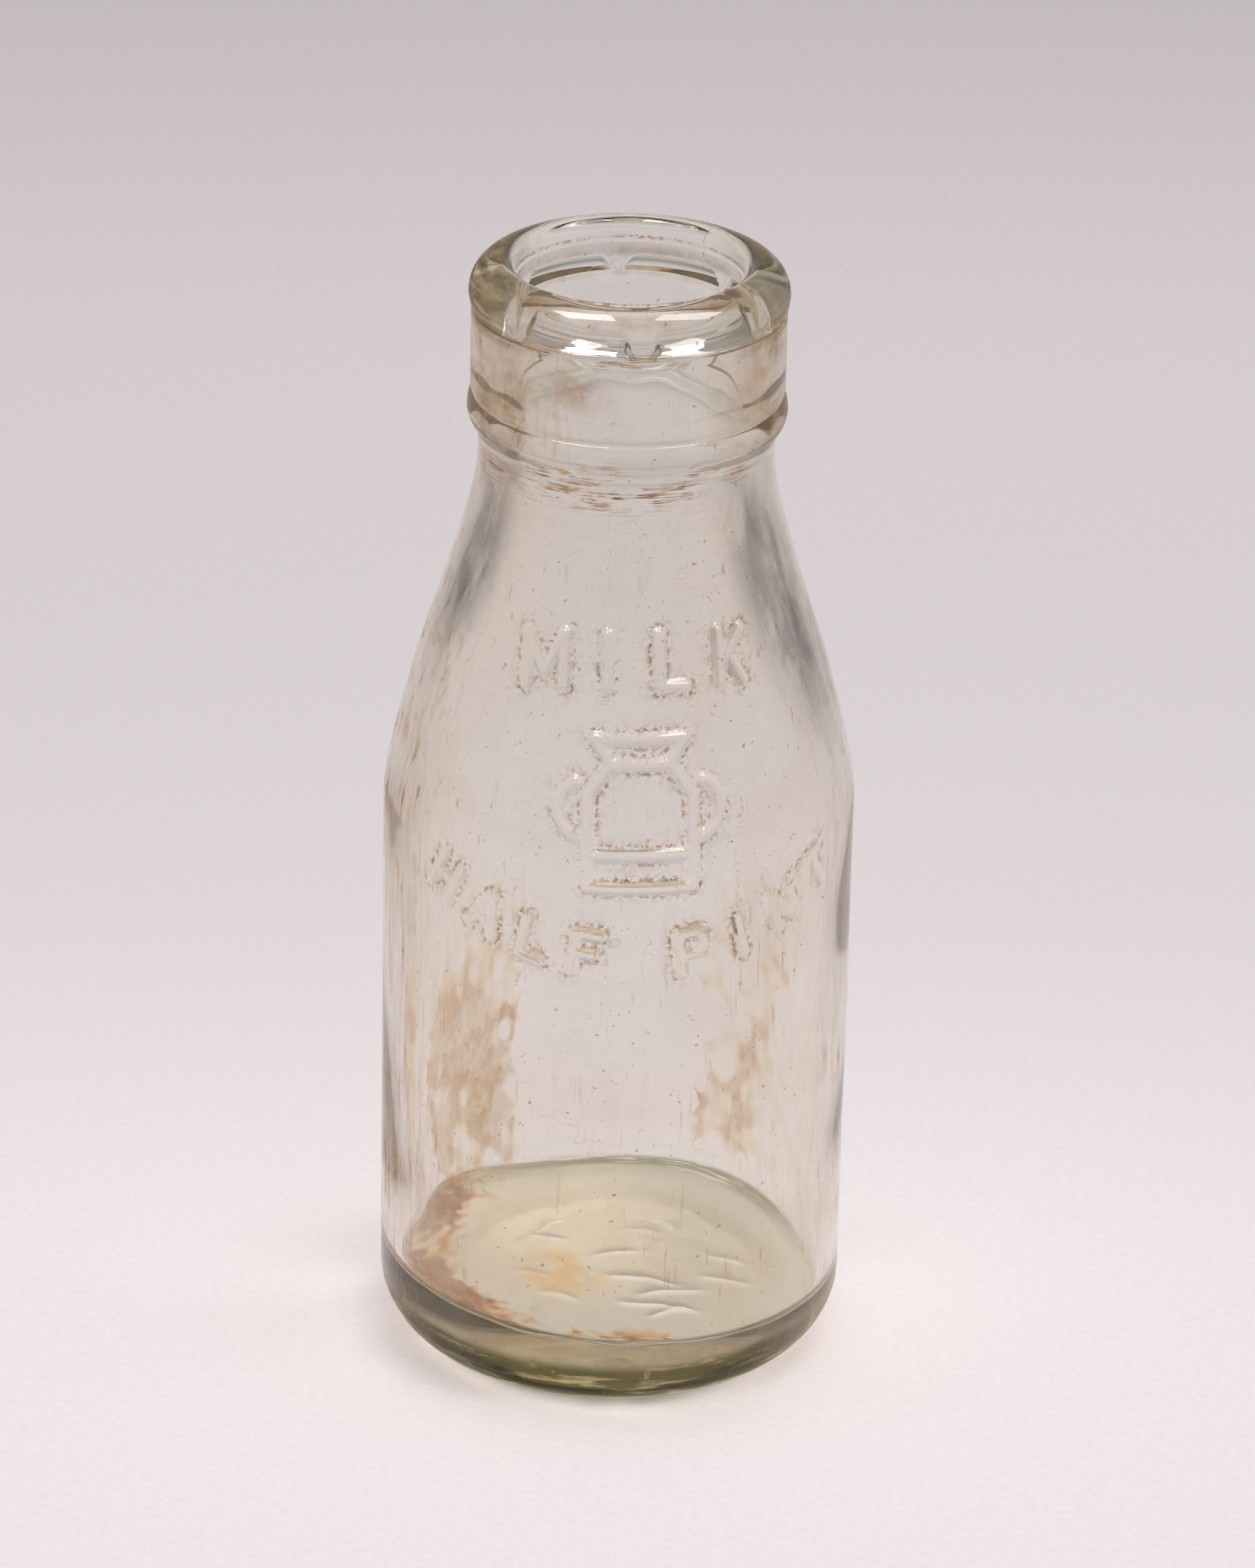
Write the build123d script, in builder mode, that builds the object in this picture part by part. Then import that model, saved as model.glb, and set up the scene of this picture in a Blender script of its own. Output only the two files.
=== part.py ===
from build123d import *
import os
from math import atan2, cos, degrees, radians, sin

# Half-pint milk bottle of thick pressed-and-blown glass, open at the mouth, in millimetres.
# +Z is up. The origin is the middle of the circle that the bottle stands on, and the raised
# design faces -Y. Angles round the bottle are counted from -Y towards +X.

# Outside of the glass
body_r = 33.0
stand_r = 22.3  # outer edge of the flat ring it stands on
stand_w = 2.0  # width of that ring
push_up = 3.5  # rise of the hollow underside
heel_h = 10.2
shoulder_z = 82.7  # where the straight body ends
shoulder = [(31.35, 93.6), (28.05, 106.1), (24.15, 118.5), (21.9, 126.3)]
waist = (20.4, 135.5)
bead_low = (20.45, 138.2)
bead_peak = (22.0, 141.8)
bead_top_z = 145.0
upper_neck_r = 21.6
upper_neck_top = 156.4
lip_r = 21.95
lip_z = 158.4  # widest level of the lip
rim_r = 17.4  # highest circle of the lip
height = 163.0

# Inside of the glass
inner_r = 29.4
floor_z = 11.3
corner_r = 2.0
inner_shoulder = [(27.6, 93.6), (24.0, 106.1), (19.6, 118.5), (17.05, 126.3)]
bore_r = 15.2
bore_low = 137.0
mouth_r = 15.5
mouth_z = 160.4

# Seat of the cardboard disc: a groove in six pockets with ribs between them
pockets = 6
first_rib = 6.3  # angle of the front rib
groove_r = 17.5
groove_z = 155.4
groove_h = 2.8
rib_low = 1.0  # width of a rib at the bottom of the groove
rib_high = 4.2

# Raised design
design_angle = 5.5  # angle of its middle line
stroke_w = 1.7
relief = 0.6
letter_h = 9.0
small_letter_h = 8.2
top_word_z = 114.5
top_word_arc = 120.0  # radius of the line that the upper word stands on
top_word_pitch = 8.6
low_word_z = 73.6
low_word_arc = 58.0
low_word_pitch = 7.3
emblem_z = 94.3

# Dried residue on the inside
crust_t = 0.25
film_t = 0.15


def outer_wall(out=0.0):
    """The straight body and the shoulder, moved outwards by out."""
    body = Line((body_r + out, heel_h), (body_r + out, shoulder_z))
    knots = [(r + out, z) for r, z in shoulder]
    Spline(body @ 1, *knots, (waist[0] + out, waist[1]), tangents=((0, 1), (0, 1)))


def outside():
    """The outside from the middle of the base up to the top of the lip."""
    hollow_r = stand_r - stand_w
    hollow_mid = hollow_r * 0.62
    ThreePointArc((0, push_up), (hollow_mid, push_up * 0.62), (hollow_r, 0))
    Line((hollow_r, 0), (stand_r, 0))
    EllipticalCenterArc((stand_r, heel_h), body_r - stand_r, heel_h, start_angle=270, arc_size=90)
    outer_wall()
    Line(waist, bead_low)
    ThreePointArc(bead_low, bead_peak, (upper_neck_r, bead_top_z))
    Line((upper_neck_r, bead_top_z), (upper_neck_r, upper_neck_top))
    Line((upper_neck_r, upper_neck_top), (lip_r, lip_z))
    EllipticalCenterArc((rim_r, lip_z), lip_r - rim_r, height - lip_z, start_angle=0, arc_size=90)


def inside():
    """The inside from the top of the lip down to the middle of the floor."""
    EllipticalCenterArc((rim_r, mouth_z), rim_r - mouth_r, height - mouth_z, start_angle=90, arc_size=90)
    Polyline((mouth_r, mouth_z), (mouth_r, groove_z), (bore_r, groove_z), (bore_r, bore_low))
    knots = reversed(inner_shoulder)
    Spline((bore_r, bore_low), *knots, (inner_r, shoulder_z), tangents=((0, -1), (0, -1)))
    Line((inner_r, shoulder_z), (inner_r, floor_z + corner_r))
    CenterArc((inner_r - corner_r, floor_z + corner_r), corner_r, 0, -90)
    Line((inner_r - corner_r, floor_z), (0, floor_z))


def side_plane(angle, z, lean=0.0):
    """An upright plane through the axis that faces outwards at an angle round the bottle.
    Its x runs to the right, seen from outside, and is turned up by lean."""
    turn = radians(angle)
    lean = radians(lean)
    right = (cos(turn) * cos(lean), sin(turn) * cos(lean), sin(lean))
    return Plane((0, 0, z), x_dir=right, z_dir=(sin(turn), -cos(turn), 0))


def half_plane(angle):
    """The upright plane whose x runs out from the axis at an angle round the bottle."""
    turn = radians(angle)
    return Plane((0, 0, 0), x_dir=(sin(turn), -cos(turn), 0), z_dir=(-cos(turn), -sin(turn), 0))


def make_seat():
    """The six pockets of the disc seat, as the space to cut away."""
    pitch = 360 / pockets
    half_low = groove_r * sin(radians(pitch / 2)) - rib_low / 2
    half_high = groove_r * sin(radians(pitch / 2)) - rib_high / 2
    with BuildPart() as seat:
        for k in range(pockets):
            with BuildSketch(side_plane(first_rib + (k + 0.5) * pitch, groove_z)):
                with BuildLine():
                    low = Line((-half_low, 0), (half_low, 0))
                    high = Line((half_high, groove_h), (-half_high, groove_h))
                    Line(low @ 1, high @ 0)
                    Line(high @ 1, low @ 0)
                make_face()
            extrude(amount=groove_r)
        with BuildSketch(Plane.XY.offset(groove_z)):
            Circle(groove_r)
        extrude(amount=groove_h, mode=Mode.INTERSECT)
    return seat.part


def bar(start, end):
    """A straight stroke with round ends."""
    run = Vector(*end) - Vector(*start)
    with Locations(Vector(*start) + run / 2):
        SlotCenterToCenter(run.length, stroke_w, rotation=degrees(atan2(run.Y, run.X)))


def bow(center, radius, start, size):
    """A curved stroke with round ends."""
    SlotArc(CenterArc(center, radius, start, size), stroke_w)


# Each letter's straight strokes, in a cell that is 1 high and centred on the origin
LETTERS = {
    "A": [((-0.34, -0.5), (0, 0.5)), ((0, 0.5), (0.34, -0.5)), ((-0.2, -0.15), (0.2, -0.15))],
    "F": [((-0.25, -0.5), (-0.25, 0.5)), ((-0.25, 0.5), (0.28, 0.5)), ((-0.25, 0), (0.18, 0))],
    "H": [((-0.3, -0.5), (-0.3, 0.5)), ((0.3, -0.5), (0.3, 0.5)), ((-0.3, 0), (0.3, 0))],
    "I": [((0, -0.5), (0, 0.5))],
    "K": [((-0.27, -0.5), (-0.27, 0.5)), ((0.28, 0.5), (-0.27, -0.1)), ((-0.08, 0.1), (0.3, -0.5))],
    "L": [((-0.24, 0.5), (-0.24, -0.5)), ((-0.24, -0.5), (0.28, -0.5))],
    "M": [((-0.4, -0.5), (-0.4, 0.5)), ((-0.4, 0.5), (0, -0.25)), ((0, -0.25), (0.4, 0.5)),
          ((0.4, 0.5), (0.4, -0.5))],
    "N": [((-0.3, -0.5), (-0.3, 0.5)), ((-0.3, 0.5), (0.3, -0.5)), ((0.3, -0.5), (0.3, 0.5))],
    "P": [((-0.26, -0.5), (-0.26, 0.5)), ((-0.26, 0.5), (0.05, 0.5)), ((-0.26, -0.04), (0.05, -0.04))],
    "T": [((-0.34, 0.5), (0.34, 0.5)), ((0, 0.5), (0, -0.5))],
}


def draw_letter(letter, size):
    """A letter's strokes in the current sketch."""
    tall = size - stroke_w
    for start, end in LETTERS[letter]:
        bar(Vector(*start) * tall, Vector(*end) * tall)
    if letter == "P":
        bow((0.05 * tall, 0.23 * tall), 0.27 * tall, -90, 180)


def make_word(word, size, z, arc, pitch):
    """A word's strokes as upright prisms. Its line arches up where arc is positive."""
    with BuildPart() as prisms:
        for place, letter in enumerate(word):
            if letter == " ":
                continue
            across = (place - (len(word) - 1) / 2) * pitch
            drop = across**2 / (2 * arc)
            angle = design_angle + degrees(across / wall_r(z))
            with BuildSketch(side_plane(angle, z - drop, lean=-degrees(across / arc))):
                draw_letter(letter, size)
            extrude(amount=body_r + 2)
    return prisms.part


def wall_r(z):
    """Radius of the outside at a height, with straight lines between the shoulder's points."""
    low = (body_r, shoulder_z)
    for high in shoulder:
        if z <= high[1]:
            part = max(0.0, (z - low[1]) / (high[1] - low[1]))
            return low[0] + part * (high[0] - low[0])
        low = high
    return waist[0]


def draw_churn():
    """A plain milk churn: can, shoulders, flared neck, lid and two ring handles."""
    half, base, top = 7.2, -10.2, 2.4
    neck, neck_z, lid, lid_z = 4.0, 6.6, 6.0, 10.0
    bar((-half, base), (half, base))
    bar((-half, -5.6), (half, -5.6))
    bar((-neck, neck_z), (neck, neck_z))
    bar((-lid, lid_z), (lid, lid_z))
    for side in (-1, 1):
        bar((side * half, base), (side * half, top))
        bar((side * half, top), (side * neck, neck_z))
        bar((side * neck, neck_z), (side * lid, lid_z))
    bow((half, 0.4), 4.0, -70, 140)
    bow((-half, 0.4), 4.0, 110, 140)


def make_design():
    """The raised word, churn and capacity, cut to a thin layer on the outside."""
    top_word = make_word("MILK", letter_h, top_word_z, top_word_arc, top_word_pitch)
    low_word = make_word("HALF PINT", small_letter_h, low_word_z, -low_word_arc, low_word_pitch)
    with BuildPart() as design:
        with BuildSketch(side_plane(design_angle, emblem_z)):
            draw_churn()
        extrude(amount=body_r + 2)
        add(top_word)
        add(low_word)
        with BuildSketch(Plane.XZ):
            with BuildLine():
                outer_wall(relief)
                outer_wall(-relief)
                Line((body_r - relief, heel_h), (body_r + relief, heel_h))
                Line((waist[0] - relief, waist[1]), (waist[0] + relief, waist[1]))
            make_face()
        revolve(axis=Axis.Z, mode=Mode.INTERSECT)
    return design.part


def make_bottle():
    """The one piece of glass."""
    seat = make_seat()
    design = make_design()
    with BuildPart() as bottle:
        with BuildSketch(Plane.XZ):
            with BuildLine():
                outside()
                inside()
                Line((0, floor_z), (0, push_up))
            make_face()
        revolve(axis=Axis.Z)
        add(seat, mode=Mode.SUBTRACT)
        add(design)
    return bottle


def make_crust(angle, spread, inward):
    """Dried crust that lines the corner of the floor and runs inward over the floor."""
    corner_x, corner_z = inner_r - corner_r, floor_z + corner_r
    with BuildPart() as crust:
        with BuildSketch(half_plane(angle - spread / 2)):
            with BuildLine():
                Line((corner_x - inward, floor_z), (corner_x, floor_z))
                CenterArc((corner_x, corner_z), corner_r, -90, 70)
                rim = CenterArc((corner_x, corner_z), corner_r - crust_t, -20, -70)
                top = Line(rim @ 1, (corner_x - inward, floor_z + crust_t))
                Line(top @ 1, (corner_x - inward, floor_z))
                tip = radians(20)
                Line((corner_x + corner_r * cos(tip), corner_z - corner_r * sin(tip)), rim @ 0)
            make_face()
        revolve(axis=Axis.Z, revolution_arc=spread)
    return crust


def make_film(angle, spread, low, high):
    """A dried film on the inside of the straight wall, between two heights."""
    with BuildPart() as film:
        with BuildSketch(half_plane(angle - spread / 2)):
            with Locations((inner_r - film_t / 2, (low + high) / 2)):
                Rectangle(film_t, high - low)
        revolve(axis=Axis.Z, revolution_arc=spread)
    return film


pieces = {
    "bottle": make_bottle(),
    "crust_left": make_crust(angle=-75, spread=120, inward=7.0),
    "crust_front": make_crust(angle=6, spread=34, inward=9.0),
    "film_left": make_film(angle=-132, spread=42, low=17, high=60),
    "film_right": make_film(angle=136, spread=44, low=17, high=64),
    "film_edge": make_film(angle=-78, spread=40, low=17, high=74),
}

os.makedirs("parts", exist_ok=True)
for name, piece in pieces.items():
    piece.part.label = name
    export_step(piece.part, f"parts/{name}.step")
    print(name, "solids", len(piece.part.solids()), "volume", round(piece.part.volume, 1))
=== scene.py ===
import math

import bpy
import numpy as np
from mathutils import Matrix, Vector


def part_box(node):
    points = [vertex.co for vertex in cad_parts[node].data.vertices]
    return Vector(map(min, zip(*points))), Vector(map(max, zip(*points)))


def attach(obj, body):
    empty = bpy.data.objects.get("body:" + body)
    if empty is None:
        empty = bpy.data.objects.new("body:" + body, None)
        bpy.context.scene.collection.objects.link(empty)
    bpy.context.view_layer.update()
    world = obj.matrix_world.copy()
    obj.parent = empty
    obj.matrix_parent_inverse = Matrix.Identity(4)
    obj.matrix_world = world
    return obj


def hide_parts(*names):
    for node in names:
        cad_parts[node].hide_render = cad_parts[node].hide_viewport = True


# The looks of a half-pint glass milk bottle. Lengths are in millimetres until a mesh is made.
# Angles round the bottle are in degrees, counted from the front (-Y) towards +X.

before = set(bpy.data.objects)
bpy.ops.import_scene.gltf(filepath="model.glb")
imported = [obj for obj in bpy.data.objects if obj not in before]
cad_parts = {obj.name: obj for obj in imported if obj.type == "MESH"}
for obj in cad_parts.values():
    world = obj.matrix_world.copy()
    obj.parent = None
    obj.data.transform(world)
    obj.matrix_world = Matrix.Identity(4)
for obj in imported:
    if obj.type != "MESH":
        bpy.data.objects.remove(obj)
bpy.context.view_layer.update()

HEIGHT = 163.0
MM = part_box("bottle")[1].z / HEIGHT  # metres in a millimetre of the design
SEED = 7

# ---- outline of the glass -------------------------------------------------------------------
BODY_R = 33.0
STAND_R = 22.3
STAND_W = 2.0
PUSH_UP = 3.5
HEEL_H = 10.2
SHOULDER_Z = 82.7
SHOULDER = [(93.6, 31.35), (106.1, 28.05), (118.5, 24.15), (126.3, 21.9)]
WAIST_Z, WAIST_R = 135.5, 20.4
BEAD = [(137.4, 20.45), (139.2, 20.95), (140.6, 21.7)]
BEAD_PEAK_Z, BEAD_PEAK_R = 141.8, 22.0
BEAD_TOP_Z, BEAD_TOP_R = 144.0, 21.35
NECK_R = 21.6
NECK_TOP_Z = 156.2
LIP_R, LIP_Z = 21.95, 158.4
RIM_R = 17.4
MOUTH_R, MOUTH_Z = 15.5, 160.4
INNER_R = 29.4
FLOOR_Z = 11.3
CORNER_R = 2.0
FLOOR_TILT = 0.055  # the floor is higher on the left
RIGHT_REFLECTION, LEFT_REFLECTION = 60.0, -62.0  # angles of the painted dark reflections on the shoulders
INNER_SHOULDER = [(126.3, 17.05), (118.5, 19.6), (106.1, 24.0), (93.6, 27.6)]
BORE_R, BORE_LOW = 15.2, 137.0
POLE_R = 0.6  # the outline starts and ends this far from the axis

# Disc seat
POCKETS = 6
FIRST_RIB = 6.3
SEAT_Z, SEAT_H = 155.6, 2.8
SEAT_DEPTH = 2.0
RIB_LOW, RIB_HIGH = 1.0, 4.2

# Raised design
DESIGN_ANGLE = 5.5
STROKE_W = 2.2
RELIEF = 1.0
DESIGN_LOW, DESIGN_HIGH = 66.0, 122.0  # heights that the fine rows cover
DESIGN_LEFT, DESIGN_RIGHT = -56.0, 66.0  # angles that the fine columns cover


def line(r0, z0, r1, z1, n):
    """Points along a straight run, without its last one."""
    t = np.arange(n) / n
    return np.stack([r0 + (r1 - r0) * t, z0 + (z1 - z0) * t], 1)


def arc(r, z, across, up, start, end, n):
    """Points along part of an ellipse round (r, z), without its last one."""
    a = np.radians(start + (end - start) * np.arange(n) / n)
    return np.stack([r + across * np.cos(a), z + up * np.sin(a)], 1)


def smooth_run(knots, step):
    """A clamped cubic spline of the radius over the height, upright at both ends."""
    z, r = np.array(knots, float).T
    if z[0] > z[-1]:
        return smooth_run(knots[::-1], step)[::-1]
    h = np.diff(z)
    rise = np.diff(r) / h
    system = np.zeros((len(z), len(z)))
    right = np.zeros(len(z))
    system[0, :2] = 2 * h[0], h[0]
    system[-1, -2:] = h[-1], 2 * h[-1]
    right[0], right[-1] = 6 * rise[0], -6 * rise[-1]
    for i in range(1, len(z) - 1):
        system[i, i - 1 : i + 2] = h[i - 1], 2 * (h[i - 1] + h[i]), h[i]
        right[i] = 6 * (rise[i] - rise[i - 1])
    bend = np.linalg.solve(system, right)
    at = np.linspace(z[0], z[-1], max(2, round((z[-1] - z[0]) / step)))
    i = np.clip(np.searchsorted(z, at) - 1, 0, len(h) - 1)
    a, b = z[i + 1] - at, at - z[i]
    radius = (
        (bend[i] * a**3 + bend[i + 1] * b**3) / (6 * h[i])
        + (r[i] / h[i] - bend[i] * h[i] / 6) * a
        + (r[i + 1] / h[i] - bend[i + 1] * h[i] / 6) * b
    )
    return np.stack([radius, at], 1)


def outer_outline():
    """From beside the middle of the underside up to the top of the lip."""
    hollow_r = STAND_R - STAND_W
    bead_w, bead_h = BEAD_PEAK_R - BEAD_TOP_R, BEAD_TOP_Z - BEAD_PEAK_Z
    neck_foot = BEAD_TOP_Z + 1.0
    r = np.linspace(POLE_R, hollow_r, 30)[:-1]
    dome = np.stack([r, PUSH_UP * (0.5 + 0.5 * np.cos(math.pi * r / hollow_r))], 1)
    shoulder = [(SHOULDER_Z, BODY_R), *SHOULDER, (WAIST_Z, WAIST_R)]
    wall = smooth_run(shoulder, 0.36)
    thin_out = (wall[:, 1] > DESIGN_HIGH) & (np.arange(len(wall)) % 2 == 1)
    return np.concatenate([
        dome,
        line(hollow_r, 0, STAND_R, 0, 4),
        arc(STAND_R, HEEL_H, BODY_R - STAND_R, HEEL_H, 270, 360, 30),
        line(BODY_R, HEEL_H, BODY_R, DESIGN_LOW, 46),
        line(BODY_R, DESIGN_LOW, BODY_R, SHOULDER_Z, 46),
        wall[~thin_out][:-1],
        smooth_run([(WAIST_Z, WAIST_R), *BEAD, (BEAD_PEAK_Z, BEAD_PEAK_R)], 0.3)[:-1],
        arc(BEAD_TOP_R, BEAD_PEAK_Z, bead_w, bead_h, 0, 84, 10),
        line(BEAD_TOP_R, BEAD_TOP_Z, NECK_R, neck_foot, 3),
        line(NECK_R, neck_foot, NECK_R, NECK_TOP_Z, 14),
        line(NECK_R, NECK_TOP_Z, LIP_R, LIP_Z, 6),
        arc(RIM_R, LIP_Z, LIP_R - RIM_R, HEIGHT - LIP_Z, 0, 90, 26),
    ])


def inner_outline():
    """From the top of the lip down to beside the middle of the floor."""
    shoulder = [(BORE_LOW, BORE_R), *INNER_SHOULDER, (SHOULDER_Z, INNER_R)]
    above, below = SEAT_Z + 0.2, SEAT_Z - 0.06  # close rows cover the ledge of the disc seat
    step_z = SEAT_Z - 0.9  # the foot of the step from the mouth to the bore
    return np.concatenate([
        arc(RIM_R, MOUTH_Z, RIM_R - MOUTH_R, HEIGHT - MOUTH_Z, 90, 180, 16),
        line(MOUTH_R, MOUTH_Z, MOUTH_R, above, 30),
        line(MOUTH_R, above, MOUTH_R, below, 12),
        line(MOUTH_R, below, BORE_R, step_z, 5),
        line(BORE_R, step_z, BORE_R, BORE_LOW, 14),
        smooth_run(shoulder, 1.1)[:-1],
        line(INNER_R, SHOULDER_Z, INNER_R, FLOOR_Z + CORNER_R, 60),
        arc(INNER_R - CORNER_R, FLOOR_Z + CORNER_R, CORNER_R, CORNER_R, 0, -90, 18),
        line(INNER_R - CORNER_R, FLOOR_Z, POLE_R, FLOOR_Z, 66),
    ])


OUTER = outer_outline()
INNER = inner_outline()
OUTLINE = np.concatenate([OUTER, INNER])
ALONG = np.concatenate([[0], np.cumsum(np.hypot(*np.diff(OUTLINE, axis=0).T))])
IS_INNER = np.arange(len(OUTLINE)) >= len(OUTER)


def outline_normals():
    """Directions out of the glass, square to the outline."""
    run = np.gradient(OUTLINE, axis=0)
    out = np.stack([run[:, 1], -run[:, 0]], 1)
    return out / np.linalg.norm(out, axis=1, keepdims=True)


NORMALS = outline_normals()


def ripples(turn, along, count, longest, shortest, seed, stretch=1.0):
    """A smooth random field over the angle and the length along the outline, about -1 to 1.

    The waves are stretch times as long along the outline as round the axis.
    """
    rng = np.random.default_rng(seed)
    field = 0.0
    for _ in range(count):
        size = longest * (shortest / longest) ** rng.random()
        lean = rng.uniform(0, math.tau)
        rounds = round(math.tau * INNER_R / size * math.cos(lean))
        waves = math.tau / (size * stretch) * math.sin(lean)
        phase = rng.uniform(0, math.tau)
        field = field + np.sin(rounds * np.radians(turn) + waves * along + phase)
    return field / math.sqrt(count)


def smoothstep(low, high, x):
    """0 below low, 1 above high and a smooth rise between them."""
    t = np.clip((x - low) / (high - low), 0, 1)
    return t * t * (3 - 2 * t)


def span(x, rise, fall):
    """1 from the end of a smooth rise to the start of a smooth fall, 0 outside them."""
    return smoothstep(*rise, x) * (1 - smoothstep(*fall, x))


# ---- raised design --------------------------------------------------------------------------
LETTERS = {
    "A": [((-0.34, -0.5), (0, 0.5)), ((0, 0.5), (0.34, -0.5)), ((-0.2, -0.15), (0.2, -0.15))],
    "F": [((-0.25, -0.5), (-0.25, 0.5)), ((-0.25, 0.5), (0.28, 0.5)), ((-0.25, 0), (0.18, 0))],
    "H": [((-0.3, -0.5), (-0.3, 0.5)), ((0.3, -0.5), (0.3, 0.5)), ((-0.3, 0), (0.3, 0))],
    "I": [((0, -0.5), (0, 0.5))],
    "K": [((-0.27, -0.5), (-0.27, 0.5)), ((0.28, 0.5), (-0.27, -0.1)),
          ((-0.08, 0.1), (0.3, -0.5))],
    "L": [((-0.24, 0.5), (-0.24, -0.5)), ((-0.24, -0.5), (0.28, -0.5))],
    "M": [((-0.4, -0.5), (-0.4, 0.5)), ((-0.4, 0.5), (0, -0.25)), ((0, -0.25), (0.4, 0.5)),
          ((0.4, 0.5), (0.4, -0.5))],
    "N": [((-0.3, -0.5), (-0.3, 0.5)), ((-0.3, 0.5), (0.3, -0.5)), ((0.3, -0.5), (0.3, 0.5))],
    "P": [((-0.26, -0.5), (-0.26, 0.5)), ((-0.26, 0.5), (0.05, 0.5)),
          ((-0.26, -0.04), (0.05, -0.04))],
    "T": [((-0.34, 0.5), (0.34, 0.5)), ((0, 0.5), (0, -0.5))],
}
WORDS = [  # word, letter height, height on the bottle, radius of its line, pitch
    ("MILK", 9.0, 114.5, 120.0, 8.6),
    ("HALF PINT", 8.2, 73.6, -58.0, 7.3),
]
BOWL_X, BOWL_Y, BOWL_R = 0.05, 0.23, 0.27  # the bow of the P, as parts of a letter's height
CHURN_Z = 94.3
FAR = 99.0  # a distance from the strokes at which nothing of them is left


def wall_r(z):
    """Radius of the outside at a height between the heel and the waist."""
    rising = OUTER[36:]  # from the heel upwards
    return np.interp(z, rising[:, 1], rising[:, 0])


def bar_distance(x, y, start, end):
    """Distance from points to a straight stroke's middle line."""
    run = np.subtract(end, start)
    t = np.clip(((x - start[0]) * run[0] + (y - start[1]) * run[1]) / (run @ run), 0, 1)
    return np.hypot(x - start[0] - t * run[0], y - start[1] - t * run[1])


def bow_distance(x, y, center, radius, middle, half):
    """Distance from points to an arc about center, half degrees either side of middle."""
    dx, dy = x - center[0], y - center[1]
    away = (np.degrees(np.arctan2(dy, dx)) - middle + 180) % 360 - 180
    end = np.radians(middle + np.where(away > 0, half, -half))
    to_end = np.hypot(dx - radius * np.cos(end), dy - radius * np.sin(end))
    return np.where(np.abs(away) <= half, np.abs(np.hypot(dx, dy) - radius), to_end)


def letter_distance(x, y, letter, size):
    """Distance from points to a letter's strokes."""
    tall = size - STROKE_W
    strokes = [(np.multiply(a, tall), np.multiply(b, tall)) for a, b in LETTERS[letter]]
    near = [bar_distance(x, y, start, end) for start, end in strokes]
    if letter == "P":
        near.append(bow_distance(x, y, (BOWL_X * tall, BOWL_Y * tall), BOWL_R * tall, 0, 90))
    return np.minimum.reduce(near)


def churn_distance(x, y):
    """Distance from points to a plain milk churn: can, shoulders, neck, lid and two handles."""
    half, base, hoop, top = 7.2, -10.2, -5.6, 2.4
    neck, neck_z, lid, lid_z = 4.0, 6.6, 6.0, 10.0
    handle_z, handle_r = 0.4, 4.0
    bars = [((-half, base), (half, base)), ((-half, hoop), (half, hoop))]
    bars += [((-neck, neck_z), (neck, neck_z)), ((-lid, lid_z), (lid, lid_z))]
    for side in (-1, 1):
        bars += [((side * half, base), (side * half, top))]
        bars += [((side * half, top), (side * neck, neck_z))]
        bars += [((side * neck, neck_z), (side * lid, lid_z))]
    near = [bar_distance(x, y, a, b) for a, b in bars]
    near += [
        bow_distance(x, y, (side * half, handle_z), handle_r, middle, 70)
        for side, middle in ((1, 0), (-1, 180))
    ]
    return np.minimum.reduce(near)


def design_distance(turn, z):
    """Distance over the glass from points to the nearest stroke of the design."""
    reach = np.full(turn.shape, FAR)
    angle = np.radians(turn - DESIGN_ANGLE)
    for word, size, level, arc_r, pitch in WORDS:
        for i, letter in enumerate(word):
            if letter == " ":
                continue
            across = (i - (len(word) - 1) / 2) * pitch
            lean = -across / arc_r
            x = (angle - across / wall_r(level)) * wall_r(z)
            y = z - level + across**2 / (2 * arc_r)
            right = x * math.cos(lean) + y * math.sin(lean)
            up = y * math.cos(lean) - x * math.sin(lean)
            reach = np.minimum(reach, letter_distance(right, up, letter, size))
    return np.minimum(reach, churn_distance(angle * wall_r(z), z - CHURN_Z))


# ---- glass mesh -----------------------------------------------------------------------------
FINE_STEP = 0.5  # degrees between columns across the design
REST_COLUMNS = 150  # in the rest of the circle
POCKET_END = 3.0  # degrees in which a pocket of the disc seat runs out beside a rib
LEDGE_H = 0.14  # height in which a pocket's floor goes in
CREASE_BOW = 0.09  # how far a chill mark bows out, in parts of its length
CREASE_CORE, CREASE_W = 0.7, 0.85  # how steep and how wide a chill mark is across
CHILL_GAIN = 2.5  # the marks in the glass are this many times as deep as in their table
SHADE_DEPTH = 0.09  # a chill mark this high is painted fully lit, and as deep fully shaded
WALL_WAVES, NECK_WAVES, FLOOR_WAVES = 0.22, 0.10, 0.14  # on the inside
SIDE_WAVES, HEEL_WAVES = 0.035, 0.06  # on the outside
MOUTH_GROOVE, MOUTH_GROOVE_W = 0.22, 0.28  # a fine groove round the inside of the mouth
FLANK_DROP = 0.72  # how much lower the strokes at both sides of the design are
FOOT_FADE = (16, 40)  # heights between which the floor's tilt ends and the dust gets thinner
NECK_RISE, NECK_FALL = (139, 143), (156, 159)  # heights where the neck's wear begins and ends


def columns():
    """Angles of the mesh's columns, close together across the design."""
    fine = np.arange(DESIGN_LEFT, DESIGN_RIGHT, FINE_STEP)
    rest = np.linspace(DESIGN_RIGHT, DESIGN_LEFT + 360, REST_COLUMNS)[:-1]
    return np.concatenate([fine, rest])


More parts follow.
